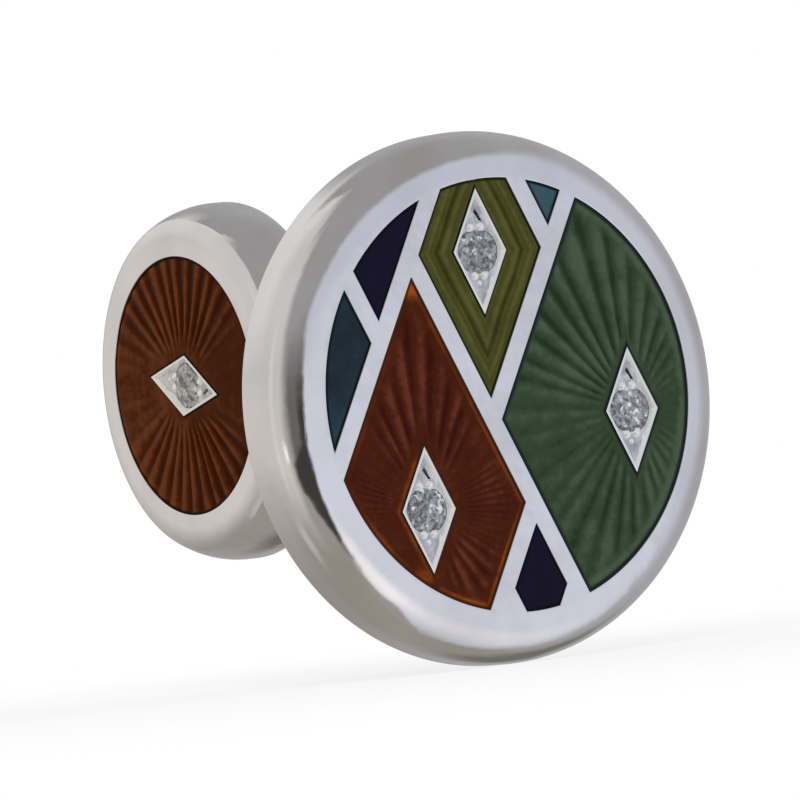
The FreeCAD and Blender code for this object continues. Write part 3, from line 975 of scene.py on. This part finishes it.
# Values of each look, in the order in which its function takes them, with colours as they are on a screen
LOOKS = {
    "silver": (silver_look, (243, 241, 239), (232, 229, 226), 0.035, 0.08),
    # The setting's fourth colour is painted shade below the stone
    "setting_silver": (
        setting_look, (252, 249, 242), (226, 225, 222), (184, 183, 181), (64, 65, 70), (243, 242, 240),
    ),
    "spring_steel": (silver_look, (198, 198, 200), (160, 160, 164), 0.25, 0.4),
    # An enamel's fourth colour is painted shade of the cell wall along its rim
    "enamel_green": (enamel_look, (31, 48, 29), (47, 64, 44), (66, 84, 64), (22, 32, 34), 0.05),
    # The brown enamels' last colour is a painted glow of light
    "enamel_brown": (
        enamel_look, (52, 17, 9), (65, 27, 13), (94, 47, 33), (58, 32, 11), 0.022, (158, 74, 18),
    ),
    # A copy of the brown enamel toned for the light on the back head: painted light
    "enamel_brown_back": (
        enamel_look, (56, 21, 3), (71, 31, 9), (104, 56, 30), (36, 20, 4), 0.01, (158, 74, 12),
    ),
    "enamel_olive": (enamel_look, (50, 48, 13), (65, 64, 26), (80, 80, 40), (26, 26, 8), 0.05),
    "enamel_navy": (enamel_look, (13, 9, 28), (18, 13, 35), (21, 16, 39), (8, 6, 16), 0.06, None, 0.1, 0.03),
    "enamel_teal": (
        enamel_look, (26, 37, 47), (36, 58, 68), (52, 82, 91), (12, 19, 24), 0.06, None, 0.15, 0.03,
    ),
    # A stone's first two colours are painted reflections, and its last a painted glint
    "brilliant": (stone_look, (80, 82, 88), (160, 162, 169), (226, 228, 233)),
    # A lighter, warmer copy for the back head's stone, its painted reflections toned for the light there
    "brilliant_back": (stone_look, (98, 95, 91), (184, 179, 174), (236, 234, 231)),
}
looks = {}
for name, (surface, *values) in LOOKS.items():
    looks[name], shader, build = new_material(name)
    build.fill(shader, **surface(build, *values))


def dress(piece, look):
    piece.data.materials.clear()
    piece.data.materials.append(looks[look])


for piece in pieces.values():
    dress(piece, piece["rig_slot"])
# The back enamel takes a copy of the brown enamel toned for the light on the back head: painted light
dress(pieces["back_enamel"], "enamel_brown_back")
# The back stone takes a lighter, warmer copy whose painted reflections stand for the light on the back head
dress(pieces["back_stone"], "brilliant_back")
for row in frame["record"]["subparts"]:
    dress(nodes[row["node"]], row["material_slot"])


# Studio, in metres

WORLD_FILL = 0.5
FLOOR_HEIGHT = -9.0 * MM
FLOOR_SIZE = 0.3
FLOOR_DARK = (0.92, 0.92, 0.92, 1.0)
FLOOR_LIGHT = (0.95, 0.95, 0.95, 1.0)
# How far the paper's own white outshines the shadow on it
FLOOR_WHITE = 0.78
# Distances from the middle between which the paper fades out
FLOOR_FADE = (0.004, 0.06)
LAMP_SIZE = 0.22
LAMP_TARGET = (0, 0.005, 0)
# Place and power of each lamp
LAMPS = {
    "key": ((-0.2, -0.26, 0.22), 0.75),
    "fill": ((0.22, -0.24, 0.1), 0.3),
}


def make_world():
    world = bpy.data.worlds.new("studio")
    bpy.context.scene.world = world
    world.use_nodes = True
    build = Builder(world.node_tree)
    strength = build.ramp(build.seen_directly(), 0.0, 1.0, to_low=WORLD_FILL, to_high=1.0)
    build.fill(world.node_tree.nodes["Background"], Color=(1.0, 1.0, 1.0, 1.0), Strength=strength)


def floor_material():
    """Pale paper, nearly white to the camera apart from a soft shadow, that fades out around the object."""
    material, shader, build = new_material("floor")
    place = build.node("ShaderNodeTexCoord").outputs["Object"]
    away = build.node("ShaderNodeVectorMath", {"operation": "LENGTH"}, Vector=place).outputs["Value"]
    colour = build.mix(build.noise(place, scale=900.0), FLOOR_DARK, FLOOR_LIGHT)
    build.fill(shader, Base_Color=colour, Roughness=0.9, Specular_IOR_Level=0.1)
    white = build.node("ShaderNodeEmission", Strength=1.0).outputs["Emission"]
    clear = build.node("ShaderNodeBsdfTransparent").outputs["BSDF"]
    whiteness = build.maths("MULTIPLY", build.seen_directly(), FLOOR_WHITE)
    paper = build.mix_shaders(whiteness, shader.outputs["BSDF"], white)
    faded = build.mix_shaders(build.ramp(away, *FLOOR_FADE), paper, clear)
    build.fill(material.node_tree.nodes["Material Output"], Surface=faded)
    return material


def make_floor():
    """A square of paper below the object, which the metal doesn't mirror."""
    half = FLOOR_SIZE / 2
    mesh = bpy.data.meshes.new("floor")
    corners = [(-half, -half, 0), (half, -half, 0), (half, half, 0), (-half, half, 0)]
    mesh.from_pydata(corners, [], [(0, 1, 2, 3)])
    mesh.materials.append(floor_material())
    floor = add_object("floor", mesh)
    turn = Vector((0, 0, 1)).to_track_quat("Z", "Y").to_matrix().to_4x4()
    floor.matrix_world = Matrix.Translation((0.0, 0.0, FLOOR_HEIGHT)) @ turn
    floor.visible_glossy = False


# Light tent, by azimuth and elevation in degrees: azimuth 0 is straight before the front, and 90 to its right

TENT_RADIUS = 0.6
TENT_COLUMNS = 240
TENT_ROWS = 120
TENT_TOP = 89.0
LEFT_MIDDLE = -132.0
RIGHT_MIDDLE = 26.0
GAP_MIDDLE = -17.0
# Patches of the tent: tone, and the middle, half width and soft edge of their azimuth and of their elevation
SIDE_PATCHES = (
    ((0.74, 0.72, 0.71), (-97.0, 5.0, 4.0), (4.0, 22.0, 14.0)),
    ((0.415, 0.41, 0.43), (110.0, 46.0, 24.0), (0.0, 50.0, 20.0)),
    ((0.17, 0.175, 0.155), (130.0, 22.0, 12.0), (-46.0, 14.0, 9.0)),
    ((0.52, 0.49, 0.465), (-115.0, 10.0, 6.0), (-40.0, 7.0, 6.0)),
)
SPOT = ((1.0, 0.98, 1.0), (-8.0, 14.0, 12.0), (-38.0, 12.0, 10.0))
GLINT = ((1.0, 1.0, 1.0), (-76.0, 4.5, 2.5), (-11.0, 3.0, 2.0))


def turned(azimuth, middle):
    """Degrees from a middle direction, the short way round."""
    return np.mod(azimuth - middle + 180.0, 360.0) - 180.0


def sector(azimuth, middle, half, soft):
    return window(turned(azimuth, middle), 0.0, half, soft)


def patch(azimuth, elevation, tone, across, upward):
    return tone, sector(azimuth, *across) * window(elevation, *upward)


def left_box(azimuth, elevation):
    """A soft box whose ceiling drops to both sides, warm below and brightest in a high corner."""
    turn = turned(azimuth, LEFT_MIDDLE)
    width = window(turn, 0.0, 62.0, 10.0)
    ceiling = 74.0 - 30.0 * rise(-20.0, -45.0, turn) - 10.0 * rise(28.0, 42.0, turn)
    upper = width * rise(-8.0, 18.0, elevation) * rise(10.0, -10.0, elevation - ceiling)
    lower = width * rise(-42.0, 2.0, elevation + 0.2 * turn) * rise(36.0, 4.0, elevation)
    high = upper * rise(15.0, -33.0, turn) * rise(8.0, 28.0, elevation)
    return [((0.69, 0.65, 0.625), lower), ((0.62, 0.62, 0.625), upper), ((0.74, 0.74, 0.74), high)]


def right_box(azimuth, elevation):
    """A cool soft box, sharp towards the gap, brighter below a slanting line and brightest at its foot."""
    turn = turned(azimuth, RIGHT_MIDDLE)
    edge = 3.0 + 18.0 * rise(0.0, 40.0, turn)
    ceiling = 36.0 + 0.1 * (turn + 26.0) - 0.4 * np.maximum(-22.0 - turn, 0.0)
    slant = elevation + 0.8 * (turn - 8.0)
    box = window(turn, 0.0, 48.0, edge) * rise(-96.0, -46.0, elevation)
    box = box * rise(6.0, -6.0, elevation - ceiling)
    core = box * rise(4.5, -3.5, slant) * rise(22.0, 0.0, elevation)
    foot = box * sector(azimuth, 22.0, 40.0, 22.0) * rise(-28.0, -44.0, elevation)
    foot = foot * (1.0 - 0.6 * rise(-48.0, -68.0, elevation))
    return [((0.565, 0.59, 0.69), box), ((0.67, 0.7, 0.8), core), ((0.77, 0.77, 0.83), foot)]


def lens_gap(azimuth, elevation):
    """The dark gap for the lens beside the right box, which bulges to the left below, and grey beside it."""
    turn = turned(azimuth, GAP_MIDDLE)
    near_box = rise(5.0, -5.0, turn + 4.5 * rise(3.0, -6.0, elevation))
    grey = rise(-46.0, -34.0, turn) * near_box
    grey = grey * rise(-20.0, -8.0, elevation) * rise(32.0, 4.0, elevation)
    bulge = 30.0 * window(elevation, -19.0, 9.0, 7.0)
    gap = rise(-22.0, -10.0, turn + bulge) * near_box
    gap = gap * rise(-8.0, 8.0, elevation + 41.0 + 0.35 * turn) * rise(14.0, 0.0, elevation)
    return [((0.15, 0.145, 0.14), grey), ((0.05, 0.047, 0.045), gap)]


def tent_tones(azimuth, elevation):
    """Tones of the tent by direction: two soft boxes, a dark gap for the lens, and grey above and below."""
    foot = rise(5.0, -55.0, elevation)
    corner = sector(azimuth, -26.0, 14.0, 6.0) * rise(-50.0, -60.0, elevation)
    layers = [((0.335, 0.31, 0.285), foot)]
    layers += left_box(azimuth, elevation)
    layers += [patch(azimuth, elevation, *row) for row in SIDE_PATCHES]
    layers += right_box(azimuth, elevation)
    layers += [patch(azimuth, elevation, *SPOT), ((0.345, 0.335, 0.325), corner)]
    layers += lens_gap(azimuth, elevation)
    layers.append(patch(azimuth, elevation, *GLINT))
    tones = np.zeros((azimuth.size, 3)) + (0.34, 0.34, 0.345)
    for tone, weight in layers:
        tones = tones + (np.asarray(tone) - tones) * weight[:, None]
    return tones


def make_tent():
    """A sphere round the object that only metal, enamel and stones mirror."""
    azimuth, elevation = (values.ravel() for values in np.meshgrid(
        np.linspace(-180.0, 180.0, TENT_COLUMNS, endpoint=False),
        np.linspace(-TENT_TOP, TENT_TOP, TENT_ROWS),
    ))
    a, e = np.radians(azimuth), np.radians(elevation)
    points = TENT_RADIUS * np.stack([np.sin(a) * np.cos(e), -np.cos(a) * np.cos(e), np.sin(e)], -1)
    mesh = bpy.data.meshes.new("light_tent")
    mesh.from_pydata([tuple(p) for p in points], [], capped_faces(TENT_ROWS, TENT_COLUMNS))
    layer = mesh.attributes.new("tone", "FLOAT_COLOR", "POINT")
    tones = np.concatenate([tent_tones(azimuth, elevation), np.ones((azimuth.size, 1))], axis=1)
    layer.data.foreach_set("color", tones.astype(np.float32).ravel())
    material, shader, build = new_material("light_tent")
    material.node_tree.nodes.remove(shader)
    tone = build.node("ShaderNodeAttribute", {"attribute_name": "tone"}).outputs["Color"]
    light = build.node("ShaderNodeEmission", Color=tone, Strength=1.0).outputs["Emission"]
    build.fill(material.node_tree.nodes["Material Output"], Surface=light)
    mesh.materials.append(material)
    tent = add_object("light_tent", mesh)
    tent.visible_camera = False
    tent.visible_diffuse = False
    tent.visible_shadow = False


make_world()
make_floor()
make_tent()
for name, (place, power) in LAMPS.items():
    light = bpy.data.lights.new(name, "AREA")
    light.shape = "DISK"
    light.size = LAMP_SIZE
    light.energy = power
    lamp = add_object(name, light)
    lamp.location = place
    lamp.rotation_mode = "QUATERNION"
    lamp.rotation_quaternion = (Vector(LAMP_TARGET) - Vector(place)).to_track_quat("-Z", "Y")
    lamp.visible_glossy = False


# Camera, as in the photograph

YAW = math.radians(-34.025)
PITCH = math.radians(-0.398)
ROLL = math.radians(-6.373)
AWAY = 300.0 * MM
# Width of what it sees at the object, and how far right and up of the origin it aims
FIELD = 26.78 * MM
AIM = (-3.63 * MM, -0.185 * MM)
CLIP = (0.01, 10.0)


def make_camera():
    back = Vector((math.sin(YAW) * math.cos(PITCH), -math.cos(YAW) * math.cos(PITCH), math.sin(PITCH)))
    level = Vector((math.cos(YAW), math.sin(YAW), 0.0))
    above = back.cross(level)
    right = math.cos(ROLL) * level + math.sin(ROLL) * above
    up = -math.sin(ROLL) * level + math.cos(ROLL) * above
    target = AIM[0] * right + AIM[1] * up
    eye = back * AWAY
    toward = (target - eye).normalized()
    side = toward.cross(up).normalized()
    over = side.cross(toward)
    data = bpy.data.cameras.new("camera")
    data.lens = data.sensor_width * AWAY / FIELD
    data.clip_start, data.clip_end = CLIP
    camera = add_object("camera", data)
    camera.matrix_world = Matrix.Translation(eye) @ Matrix((side, over, -toward)).transposed().to_4x4()
    bpy.context.scene.camera = camera


make_camera()
bpy.context.scene.view_settings.view_transform = "Standard"

bpy.context.view_layer.update()
